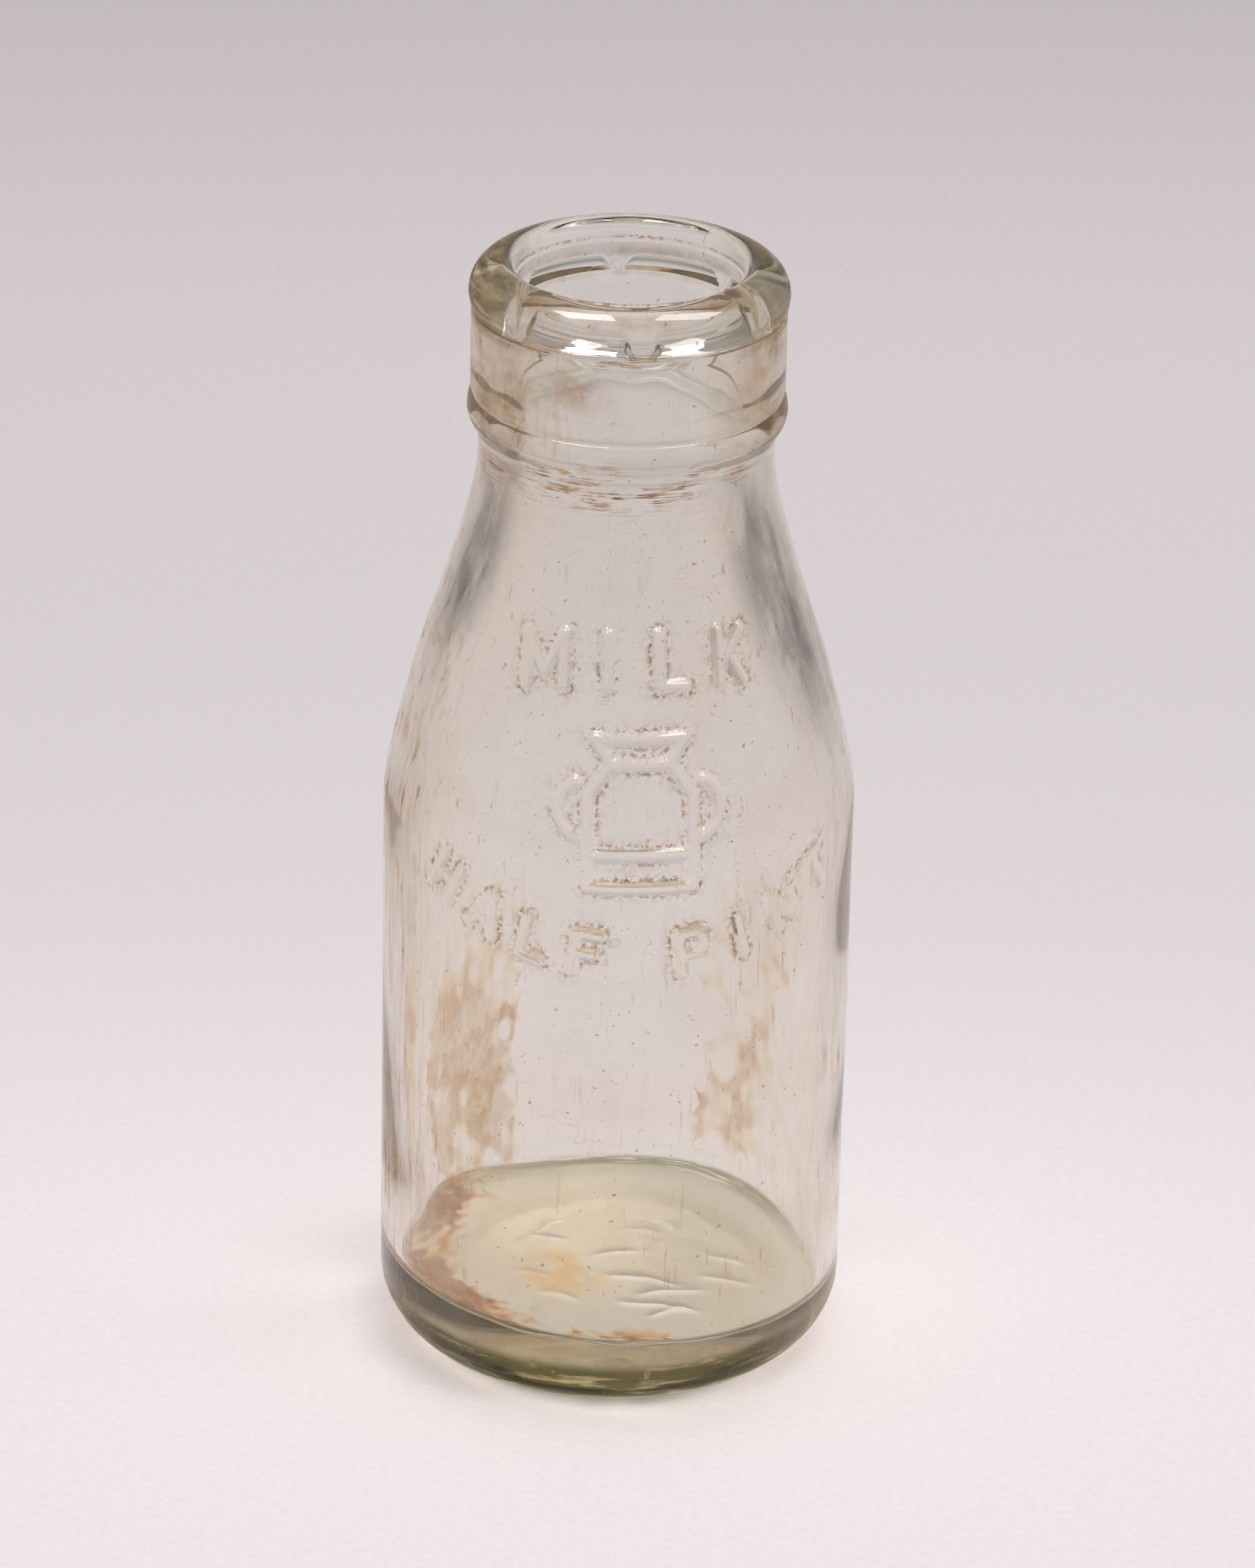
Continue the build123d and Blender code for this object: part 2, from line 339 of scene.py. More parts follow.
def seat_depth(turn, z):
    """How deep the disc seat is cut into the inner wall."""
    pitch = 360 / POCKETS
    from_rib = np.abs((turn - FIRST_RIB + pitch / 2) % pitch - pitch / 2)
    up = np.clip((z - SEAT_Z) / SEAT_H, 0, 1)
    rib = np.degrees((RIB_LOW + (RIB_HIGH - RIB_LOW) * up) / 2 / MOUTH_R)
    inside = smoothstep(0, POCKET_END, from_rib - rib)
    ledge = np.clip((z - SEAT_Z) / LEDGE_H, 0, 1)
    slope = 1 - smoothstep(0.0, 0.95, up)
    return SEAT_DEPTH * inside * ledge * slope


def bump(x, middle, half):
    """A smooth bump of height 1 that has faded out at half away from its middle."""
    return 1 - smoothstep(0, 1, np.abs(x - middle) / half)


def around(turn, middle, half):
    """A smooth bump over the angle."""
    return bump((turn - middle + 180) % 360 - 180, 0, half)


def arcs(turn, *rows):
    """Bumps over the angle added up, from rows of middle, half width and height."""
    return sum(height * around(turn, middle, half) for middle, half, height in rows)


def crease(x, y, start, end, depth):
    """A chill mark on the floor: a ridge along a groove, which fades out at its ends."""
    run = np.subtract(end, start)
    length = math.hypot(*run)
    t = ((x - start[0]) * run[0] + (y - start[1]) * run[1]) / length**2
    bow = CREASE_BOW * length * np.sin(math.pi * np.clip(t, 0, 1))
    away = ((x - start[0]) * run[1] - (y - start[1]) * run[0]) / length + bow
    fade = span(t, (0, 0.3), (0.65, 1))
    return depth * fade * (away / CREASE_CORE) * np.exp(-((away / CREASE_W) ** 2))


CREASES = [  # x, y at both ends, and depth
    ((-2.6, -4.0), (6.2, -1.6), 0.16),
    ((-2.0, -9.2), (12.5, -9.6), 0.22),
    ((3.0, -13.4), (15.0, -10.2), 0.20),
    ((0.2, -15.4), (14.0, -17.0), 0.26),
    ((5.0, -19.6), (12.5, -15.2), 0.18),
    ((12.0, -6.6), (21.0, -7.6), 0.15),
    ((13.5, -1.0), (20.5, -2.4), 0.12),
    ((-12.5, 1.2), (-5.0, 0.2), 0.12),
    ((-14.0, -9.6), (-6.5, -11.2), 0.13),
    ((-10.5, -14.6), (-3.0, -16.6), 0.15),
    ((1.5, 4.4), (9.5, 3.2), 0.08),
]


def chill_marks(turn, radius, z):
    """The height of all chill marks on the floor."""
    x, y = radius * np.sin(np.radians(turn)), -radius * np.cos(np.radians(turn))
    marks = sum(crease(x, y, start, end, depth) for start, end, depth in CREASES)
    return marks * (1 - smoothstep(FLOOR_Z, FLOOR_Z + 0.5 * CORNER_R, z))


def inner_offset(turn, radius, z, along):
    """Offset of the inside: the unevenness of pressed and blown glass, and the disc seat."""
    settled = span(z, (FLOOR_Z - 2, 24), (120, 140))
    offset = WALL_WAVES * settled * ripples(turn, along, 16, 90, 26, SEED + 1)
    neck = span(z, (130, 138), (150, 155))
    offset += NECK_WAVES * neck * ripples(turn, along, 12, 28, 12, SEED + 5, 1.5)
    low = 1 - smoothstep(FLOOR_Z, FLOOR_Z + 0.5 * CORNER_R, z)
    centred = smoothstep(4, 12, radius)
    offset += FLOOR_WAVES * low * centred * ripples(turn, along, 18, 26, 9, SEED + 2)
    offset += CHILL_GAIN * chill_marks(turn, radius, z)
    groove = np.exp(-(((z - MOUTH_Z + 0.1) / MOUTH_GROOVE_W) ** 2))
    offset -= MOUTH_GROOVE * groove * (radius < RIM_R - 0.4)
    return offset - seat_depth(turn, z)


def outer_offset(turn, z, along, reach):
    """Offset of the outside: raised strokes, slight waves, and long waves round the heel."""
    half = STROKE_W / 2
    low = 1 - FLANK_DROP * smoothstep(26, 44, np.abs(turn - DESIGN_ANGLE))
    offset = RELIEF * low * np.clip(1 - (reach / (half + 0.1)) ** 2, 0, 1) ** 1.4
    straight = span(z, (2, 14), (128, 150))
    offset += SIDE_WAVES * straight * ripples(turn, along, 14, 60, 18, SEED)
    heel = span(z, (0.4, 2.5), (HEEL_H, HEEL_H + 6))
    waves = np.abs(ripples(turn, along, 14, 30, 12, SEED + 3, 0.25))
    return offset - HEEL_WAVES * heel * waves


def floor_lift(turn, radius, z):
    """How much the tilted floor and the foot of the inner wall are raised."""
    return -FLOOR_TILT * radius * np.sin(np.radians(turn)) * (1 - smoothstep(*FOOT_FADE, z))


def inner_points(turn, along, lift):
    """Points on the inside of the glass, lifted off it by lift, for grids of angle and length."""
    radius, z = (np.interp(along, ALONG, OUTLINE[:, side]) for side in (0, 1))
    out = [np.interp(along, ALONG, NORMALS[:, side]) for side in (0, 1)]
    offset = inner_offset(turn, radius, z, along) + lift
    radius, z = radius + out[0] * offset, z + out[1] * offset
    return round_points(turn, radius, z + floor_lift(turn, radius, z))


# ---- wear, tint, painted light and shade: how strong each is at every point of the glass ----
def haze_mask(turn, z, out, neck):
    """Pale dust: thin all over, thicker on the sides, the foot of the wall and the heel."""
    wall = span(z, (14, 22), (130, 140))
    haze = 0.27 + 0.35 * wall * (1 - smoothstep(*FOOT_FADE, z))
    haze = haze + 0.50 * wall * arcs(turn, (-56, 44, 1.0), (58, 44, 1.2))
    haze = haze + 0.35 * around(turn, -70, 40) * bump(z, 100, 40)
    heel = 1 - smoothstep(9, 13, z)
    haze = haze + out * heel * arcs(turn, (-80, 60, 1.9), (84, 60, 1.9))
    haze *= 1 - 0.9 * smoothstep(*NECK_RISE, z) * around(turn, 180, 80)
    return haze + ~out * neck * arcs(turn, (-66, 56, 1.3), (68, 52, 1.3))


def grime_and_shade_mask(turn, z, out, neck):
    """Brown dirt on the sides of the neck, on the lip and round the disc seat, and painted shade
    in brown under the lip.
    """
    grime_and_shade = neck * arcs(turn, (-64, 50, 1.5), (70, 46, 1.2))
    grime_and_shade = grime_and_shade + 0.7 * around(turn, -72, 30) * smoothstep(126, 137, z) * (1 - neck)
    grime_and_shade = grime_and_shade + 1.2 * around(turn, -22, 24) * bump(z, 151.5, 4.5)
    # under the lip at both sides: painted shade in the colours of the dirt
    grime_and_shade = grime_and_shade + arcs(turn, (-62, 32, 1.6), (72, 28, 1.6)) * bump(z, 157.0, 2.6)
    rim = arcs(turn, (172, 46, 1.0), (118, 34, 1.0), (-95, 40, 0.9), (60, 30, 0.5))
    grime_and_shade = grime_and_shade + 0.8 * rim * smoothstep(159.0, 161, z)
    seat = 0.8 * bump(z, SEAT_Z + 2.9, 1.2) + 0.6 * bump(z, SEAT_Z - 0.3, 0.9)
    return np.clip(np.where(out, grime_and_shade, seat), 0, 1)


def beside_mask(z, out, reach):
    """Dirt in the corner beside the raised strokes, and on the inner edge of the mouth."""
    half = STROKE_W / 2
    close = np.exp(-(((reach - half) / 0.45) ** 2))
    spread = 0.3 * np.exp(-((np.maximum(reach - half, 0) / 1.1) ** 2))
    beside = out * np.where(reach < half, 0.3 * close, np.maximum(close, spread))
    return np.maximum(beside, ~out * bump(z, MOUTH_Z + 0.1, 0.45))


def streaks_mask(turn, z, out, neck):
    """Dirt brushed up the left side, the right side and the left of the neck."""
    streaks = 1.5 * around(turn, -80, 36) * smoothstep(0.5, 3, z)
    streaks = streaks + 0.6 * around(turn, 78, 30) * smoothstep(6, 12, z)
    streaks = streaks * (1 - smoothstep(110, 140, z)) + 1.4 * neck * around(turn, -60, 56)
    return np.clip(out * streaks, 0, 1)


def scuffs_mask(turn, z, out):
    """Fine scuffs under the bead and under the lip."""
    scuffs = 2.2 * around(turn, -6, 50) * bump(z, 137.6, 5.0)
    scuffs += 1.4 * around(turn, 44, 36) * bump(z, 139, 3.8)
    scuffs += 1.3 * around(turn, -10, 60) * bump(z, 156.8, 2.6)
    scuffs += 0.8 * around(turn, -66, 34) * bump(z, 136, 4.5)
    return np.clip(out * scuffs, 0, 1)


def film_mask(turn, radius, z, out):
    """The milky film on the floor, which stops short of the wall at the back."""
    film = ~out * (1 - smoothstep(FLOOR_Z + 0.05, FLOOR_Z + 0.9, z))
    back = around(turn, 170, 110)
    return film * (1 - back * smoothstep(INNER_R - 3.0, INNER_R - 1.4, radius))


def tint_and_shade_mask(turn, radius, z, out):
    """Olive tint where the glass is thick, with painted shade: the heel, the bead, over the lip
    and under it.
    """
    sides = arcs(turn, (-88, 62, 1.5), (92, 62, 1.0))
    heel = (radius > STAND_R - 0.5) * (1 - smoothstep(8.2, 10.4, z))
    # the heel: painted shade, darkest at its bottom edge as a painted contact shadow and lighter
    # just above it
    tint_and_shade = heel * (1 - 0.7 * bump(z, 1.8, 2.6))
    tint_and_shade = tint_and_shade * (1 - arcs(turn, (-80, 50, 0.6), (84, 50, 0.6)))
    tint_and_shade += 0.62 * smoothstep(157, 158.5, z) * (sides + 0.1 * around(turn, 180, 60))
    tint_and_shade += 0.55 * bump(z, 141.2, 3.4) * np.clip(sides, 0.2, 1)
    # under the lip at both sides: a band of painted shade
    return out * (tint_and_shade + 0.9 * bump(z, 156.3, 2.0) * arcs(turn, (-66, 40, 1.0), (74, 36, 1.0)))


def painted_reflection_mask(turn, z, out):
    """Painted dark reflections on both shoulders, which lean outwards further down."""
    down = 125 - z
    dark_reflection = 1.6 * around(turn, RIGHT_REFLECTION + 0.6 * down, 27) * bump(z, 119, 26)
    dark_reflection += 1.5 * around(turn, LEFT_REFLECTION - 0.4 * down, 20) * bump(z, 124, 18)
    return out * np.clip(dark_reflection, 0, 1)


def wear_and_painted_light(turn, radius, z, inner, reach):
    """The point colours of the glass by name, with one kind of wear, tint, painted light, painted
    shade or painted reflection in each channel.
    """
    out = ~inner
    neck = span(z, NECK_RISE, NECK_FALL)
    shade = inner * chill_marks(turn, radius, z) / SHADE_DEPTH
    # painted dark reflections on the shoulders
    dark_reflection = painted_reflection_mask(turn, z, out)
    channels = {
        "wear_and_painted_light": (
            haze_mask(turn, z, out, neck),
            grime_and_shade_mask(turn, z, out, neck),
            beside_mask(z, out, reach),
        ),
        "marks": (
            streaks_mask(turn, z, out, neck),
            scuffs_mask(turn, z, out),
            film_mask(turn, radius, z, out),
        ),
        # painted light on the chill marks' ridges, painted shade in their grooves, and olive tint
        # with painted shade
        "painted_light_and_tint": (
            np.clip(shade, 0, 1),
            np.clip(-shade, 0, 1),
            tint_and_shade_mask(turn, radius, z, out),
        ),
        "dark_reflections": (dark_reflection, dark_reflection, dark_reflection),
    }
    return {name: np.stack([*three, np.ones_like(z)], -1) for name, three in channels.items()}


# ---- meshes ---------------------------------------------------------------------------------
def add_mesh(name, points, faces, masks):
    """A smooth-shaded mesh object from points in millimetres, with point colours as masks."""
    mesh = bpy.data.meshes.new(name)
    mesh.from_pydata((np.asarray(points) * MM).tolist(), [], faces)
    mesh.polygons.foreach_set("use_smooth", [True] * len(mesh.polygons))
    for mask, values in masks.items():
        layer = mesh.attributes.new(mask, "FLOAT_COLOR", "POINT")
        layer.data.foreach_set("color", np.asarray(values, np.float32).ravel())
    mesh.validate()
    piece = bpy.data.objects.new(name, mesh)
    bpy.context.scene.collection.objects.link(piece)
    return piece


def round_points(turn, radius, z):
    """Points from angles, radii and heights."""
    a = np.radians(turn)
    return np.stack([radius * np.sin(a), -radius * np.cos(a), z + 0 * a], -1)


POLE_MASKS = {  # under the middle of the base, and in the middle of the floor
    "wear_and_painted_light": ([0.4, 0, 0, 1], [0.4, 0, 0, 1]),
    "marks": ([0, 0, 0, 1], [0, 0, 1, 1]),
    "painted_light_and_tint": ([0, 0, 0, 1], [0, 0, 0, 1]),
    "dark_reflections": ([0, 0, 0, 1], [0, 0, 0, 1]),
}


def make_glass():
    """The bottle: rows along the outline, columns round the axis, closed at both poles."""
    turn, along = np.meshgrid(columns(), ALONG)
    radius, z = (np.repeat(OUTLINE[:, side][:, None], turn.shape[1], 1) for side in (0, 1))
    inner = np.repeat(IS_INNER[:, None], turn.shape[1], 1)
    reach = np.where(inner, FAR, design_distance(turn, np.clip(z, HEEL_H, WAIST_Z)))
    masks = wear_and_painted_light(turn, radius, z, inner, reach)
    offset = outer_offset(turn, z, along, reach)
    offset = np.where(inner, inner_offset(turn, radius, z, along), offset)
    radius, z = radius + NORMALS[:, :1] * offset, z + NORMALS[:, 1:] * offset
    z = z + np.where(inner, floor_lift(turn, radius, z), 0)
    grid = round_points(turn, radius, z).reshape(-1, 3)
    last, count = turn.shape[0] - 1, turn.shape[1]
    points = np.concatenate([grid, [[0, 0, z[0].mean() + 0.01], [0, 0, z[-1].mean()]]])
    faces = []
    for row in range(last):
        a = row * count
        for col in range(count):
            right = (col + 1) % count
            faces.append((a + col, a + right, a + count + right, a + count + col))
    under, floor = len(grid), len(grid) + 1
    faces += [((col + 1) % count, col, under) for col in range(count)]
    a = last * count
    faces += [(a + col, a + (col + 1) % count, floor) for col in range(count)]
    masks = {
        name: np.concatenate([mask.reshape(-1, 4), POLE_MASKS[name]])
        for name, mask in masks.items()
    }
    piece = add_mesh("glass", points, faces, masks)
    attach(piece, "root")
    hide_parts("bottle")
    return piece


# ---- residue --------------------------------------------------------------------------------
GAP = 0.03  # between the glass and the residue that lies on it
LEAST = 0.03  # thickness of the residue at its edge
TURN_STEP, ALONG_STEP = 0.55, 0.3  # degrees and millimetres between points


def make_residue(name, slot, middle, half, low, high, core, thickness, seed, stretch, fill):
    """A thin closed patch on the inside with a ragged outline, between two outline lengths.

    It is densest at the middle length and within the width of its core.
    """
    turns = np.arange(middle - half, middle + half, TURN_STEP)
    turn, along = np.meshgrid(turns, np.arange(low, high, ALONG_STEP))
    field = fill - ((along - core[0]) / core[1]) ** 2
    field += 0.50 * ripples(turn, along, 22, 26, 10, seed, stretch)
    field += 0.30 * ripples(turn, along, 26, 7, 2.6, seed + 1, stretch)
    edge_across = 1 - np.abs(turn - middle) / half
    edge_up = 1 - np.abs(along - (low + high) / 2) * 2 / (high - low)
    edge = np.minimum(edge_across, edge_up)
    ragged = np.abs(ripples(turn, along, 22, 8, 4, seed + 2, stretch))
    field = np.minimum(field, 6 * edge - 0.1 - 0.9 * ragged)
    kept = field > 0
    cell = kept[:-1, :-1] & kept[1:, :-1] & kept[:-1, 1:] & kept[1:, 1:]
    cover = smoothstep(0, 1.1, field)
    foot = inner_points(turn, along, GAP)
    top = inner_points(turn, along, GAP + LEAST + thickness * cover)
    used = np.zeros(kept.shape, bool)
    for down, right in ((0, 0), (1, 0), (0, 1), (1, 1)):
        used[down:, right:][: cell.shape[0], : cell.shape[1]] |= cell
    count = int(used.sum())
    index = np.full(kept.shape, -1)
    index[used] = np.arange(count)
    faces = []
    for row, col in zip(*np.nonzero(cell)):
        a, b = index[row, col], index[row, col + 1]
        c, d = index[row + 1, col + 1], index[row + 1, col]
        faces.append((a + count, b + count, c + count, d + count))
        faces.append((d, c, b, a))
        sides = (
            (a, b, row - 1, col),
            (b, c, row, col + 1),
            (c, d, row + 1, col),
            (d, a, row, col - 1),
        )
        for start, end, r, k in sides:
            if not (0 <= r < cell.shape[0] and 0 <= k < cell.shape[1] and cell[r, k]):
                faces.append((start, end, end + count, start + count))
    points = np.concatenate([foot[used], top[used]])
    shade = np.repeat(cover[used][:, None], 4, 1)
    masks = {"cover": np.concatenate([shade, shade])}
    piece = add_mesh(name + "_residue", points, faces, masks)
    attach(piece, "root")
    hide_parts(name)
    return piece


# ---- materials ------------------------------------------------------------------------------
def new_material(name):
    """A material with an empty node tree, and that tree."""
    mat = bpy.data.materials.new(name)
    mat.use_nodes = True
    mat.node_tree.nodes.clear()
    return mat, mat.node_tree


def node(tree, kind, inputs=None, **settings):
    """A node with its settings and its inputs: a value, or a socket to link from."""
    made = tree.nodes.new(kind)
    for key, value in settings.items():
        setattr(made, key, value)
    for key, value in (inputs or {}).items():
        if isinstance(value, bpy.types.NodeSocket):
            tree.links.new(value, made.inputs[key])
        else:
            made.inputs[key].default_value = value
    return made


def maths(tree, operation, a, b=0.0):
    return node(tree, "ShaderNodeMath", {0: a, 1: b}, operation=operation).outputs[0]


def ramp(tree, value, low, high, bottom=0.0, top=1.0):
    """A smooth step of a value from low to high."""
    made = node(tree, "ShaderNodeMapRange", {0: value, 1: low, 2: high, 3: bottom, 4: top})
    made.interpolation_type = "SMOOTHSTEP"
    return made.outputs[0]


def place(tree, scale):
    """Object coordinates stretched by a scale for each axis."""
    coords = node(tree, "ShaderNodeTexCoord").outputs["Object"]
    return node(tree, "ShaderNodeMapping", {"Vector": coords, "Scale": scale}).outputs[0]


def noise(tree, vector, scale, detail, rough=0.55):
    inputs = {"Vector": vector, "Scale": scale, "Detail": detail, "Roughness": rough}
    return node(tree, "ShaderNodeTexNoise", inputs).outputs["Fac"]


def patches(tree, vector, grain, step, values=(0.0, 1.0)):
    """Patches of a noise. The grain is its scale, detail and roughness.

    The step is the two levels of the noise at which the first and the second value are reached.
    """
    return ramp(tree, noise(tree, vector, *grain), *step, *values)


def mix_colour(tree, factor, a, b):
    """Colour a where the factor is 0, colour b where it is 1."""
    inputs = {"Factor": factor, 6: a, 7: b}
    return node(tree, "ShaderNodeMix", inputs, data_type="RGBA").outputs[2]


def masks_of(tree, name):
    """The three channels of a point colour."""
    colour = node(tree, "ShaderNodeAttribute", attribute_name=name).outputs["Color"]
    return node(tree, "ShaderNodeSeparateColor", {0: colour}).outputs


def times(tree, *values):
    """The product of several values."""
    product = values[0]
    for value in values[1:]:
        product = maths(tree, "MULTIPLY", product, value)
    return product


def most(tree, *values):
    """The largest of several values."""
    largest = values[0]
    for value in values[1:]:
        largest = maths(tree, "MAXIMUM", largest, value)
    return largest


def hairlines(tree, vector, scale, width, patch_scale):
    """Thin curved lines along one level of a noise, kept in patches only."""
    level = maths(tree, "ABSOLUTE", maths(tree, "SUBTRACT", noise(tree, vector, scale, 2), 0.5))
    lines = ramp(tree, level, 0.0, width, 1.0, 0.0)
    return times(tree, lines, patches(tree, vector, (patch_scale, 3), (0.54, 0.62)))


def mix_shader(tree, factor, a, b):
    """Shader a where the factor is 0, shader b where it is 1."""
    return node(tree, "ShaderNodeMixShader", {0: factor, 1: a, 2: b}).outputs[0]


PALE = (0.80, 0.67, 0.54, 1)
TAN = (0.58, 0.36, 0.19, 1)
BROWN = (0.24, 0.12, 0.05, 1)
CREAM = (0.92, 0.81, 0.63, 1)
STONE = (0.64, 0.58, 0.49, 1)
OCHRE = (0.80, 0.50, 0.16, 1)
RIDGE_HIGHLIGHT = (1.0, 0.97, 0.90, 1)
GROOVE_SHADE = (0.34, 0.30, 0.24, 1)
WHITE = (1, 1, 1, 1)
OLIVE_TINT_AND_SHADE = (0.28, 0.29, 0.18, 1)
STREAK_REFLECTION = (1.0, 0.98, 0.80, 1)
REFLECTION_SLATE = (0.42, 0.44, 0.48, 1)
GLASS_TINT = (0.66, 0.61, 0.37, 1)
RUST_DARK, RUST_LIGHT = (0.40, 0.16, 0.04, 1), (0.76, 0.42, 0.12, 1)
FILM_DARK, FILM_LIGHT = (0.72, 0.44, 0.15, 1), (0.93, 0.69, 0.34, 1)
FLOOR_DARK, FLOOR_LIGHT = (0.845, 0.785, 0.80, 1), (0.875, 0.815, 0.83, 1)
FLOOR_SHADE = (0.68, 0.64, 0.65, 1)
SKY_LOW, SKY_HIGH = (0.62, 0.59, 0.60, 1), (0.30, 0.29, 0.29, 1)

GLASS_IOR = 1.52
TINT_DENSITY, LAMP_DENSITY = 24.0, 2.0  # of the glass, to the eye and to the lamps
LAMP_THROUGH = 0.8  # the part of the haze and dirt that throws no shadow
CREAM_AT, STAIN_AT = (-8, 5, FLOOR_Z), (-6.5, -9.0, FLOOR_Z)  # on the floor inside
FILM_COVER = (0.64, 0.88)  # of the floor's film, where it is thinnest and thickest
FILM_THROUGH = 0.35  # the part of the light on pale dust and film that goes through


def thin_layer(tree, colour, through=0.5):
    """The shader of a dry layer that lets part of the light through."""
    front = node(tree, "ShaderNodeBsdfDiffuse", {"Color": colour})
    back = node(tree, "ShaderNodeBsdfTranslucent", {"Color": colour})
    return mix_shader(tree, through, front.outputs[0], back.outputs[0])


def spot(tree, middle, core, reach):
    """1 within core of a place in millimetres, 0 beyond reach."""
    coords = node(tree, "ShaderNodeTexCoord").outputs["Object"]
    inputs = {0: coords, 1: [value * MM for value in middle]}
    away = node(tree, "ShaderNodeVectorMath", inputs, operation="DISTANCE").outputs["Value"]
    return ramp(tree, away, core * MM, reach * MM, 1.0, 0.0)


def haze_cover(tree, plain, upright, haze):
    """How much of the glass pale dust covers: clouds, wiped streaks and hairline scratches."""
    cloud = patches(tree, plain, (45, 5, 0.6), (0.30, 0.72), (0.08, 0.26))
    wiped = patches(tree, upright, (330, 4, 0.6), (0.52, 0.74), (0.0, 0.13))
    dusty = times(tree, haze, maths(tree, "ADD", cloud, wiped))
    return most(tree, dusty, times(tree, hairlines(tree, plain, 70, 0.005, 60), 0.35))


def dirt_cover(tree, plain, upright, haze, grime_and_shade, edge, streak, scuff):
    """How much of the glass its brown dirt covers."""
    level = place(tree, (0.05, 0.05, 1))
    specks = patches(tree, plain, (1300, 3, 0.6), (0.45, 0.58))
    clumps = patches(tree, plain, (230, 3), (0.36, 0.54))
    beside = times(tree, edge, specks, clumps)
    grain = patches(tree, upright, (800, 4, 0.65), (0.48, 0.66))
    blots = patches(tree, plain, (160, 5, 0.7), (0.40, 0.68))
    # brown dirt in blots, which also carries the painted shade under the lip
    dark = times(tree, grime_and_shade, maths(tree, "ADD", times(tree, blots, 0.42), 0.14))
    brushed = times(tree, streak, grain, maths(tree, "ADD", times(tree, blots, 0.7), 0.2))
    combed = patches(tree, level, (3900, 2, 0.5), (0.50, 0.55))
    broken = patches(tree, place(tree, (0.4, 0.4, 1)), (420, 3, 0.6), (0.42, 0.56))
    rubbed = times(tree, scuff, combed, broken, 0.9)
    dots = patches(tree, plain, (900, 2, 0.5), (0.71, 0.77), (0.0, 0.6))
    pits = times(tree, patches(tree, upright, (700, 3, 0.6), (0.66, 0.72)), haze, 0.5)
    return most(tree, times(tree, beside, 0.95), dark, brushed, rubbed, dots, pits)


def film_colour(tree, plain, lit, shaded):
    """The floor's film: cream at the back left, stone elsewhere, an ochre stain, and chill marks
    painted with highlights on their ridges and shade in their grooves.
    """
    stain = patches(tree, plain, (120, 5, 0.65), (0.36, 0.54))
    stain = times(tree, stain, spot(tree, STAIN_AT, 2.5, 9.0), 0.9)
    ground = mix_colour(tree, spot(tree, CREAM_AT, 4, 27), STONE, CREAM)
    # painted highlights along the chill marks' ridges and painted shade in their grooves
    ground = mix_colour(tree, lit, ground, RIDGE_HIGHLIGHT)
    ground = mix_colour(tree, times(tree, shaded, 0.85), ground, GROOVE_SHADE)
    return mix_colour(tree, stain, ground, OCHRE)


def glass_tone(tree, thick, dark_reflection):
    """The colour that the glass gives to what is seen through it. Where the glass is thick this
    is olive tint with painted shade, streaked with painted reflections in straw; on the shoulders
    it is painted dark reflection.
    """
    reflection_streaks = patches(tree, place(tree, (0.14, 0.14, 1)), (640, 4, 0.65), (0.50, 0.66))
    # straw streaks of painted reflection across the olive tint and painted shade
    tone = mix_colour(tree, thick, WHITE, mix_colour(tree, reflection_streaks, OLIVE_TINT_AND_SHADE, STREAK_REFLECTION))
    # painted dark reflections on the shoulders, slate grey in patches
    reflection_patches = patches(tree, place(tree, (1, 1, 0.3)), (260, 4, 0.6), (0.30, 0.60), (0.25, 1.0))
    return mix_colour(tree, times(tree, dark_reflection, reflection_patches), tone, REFLECTION_SLATE)


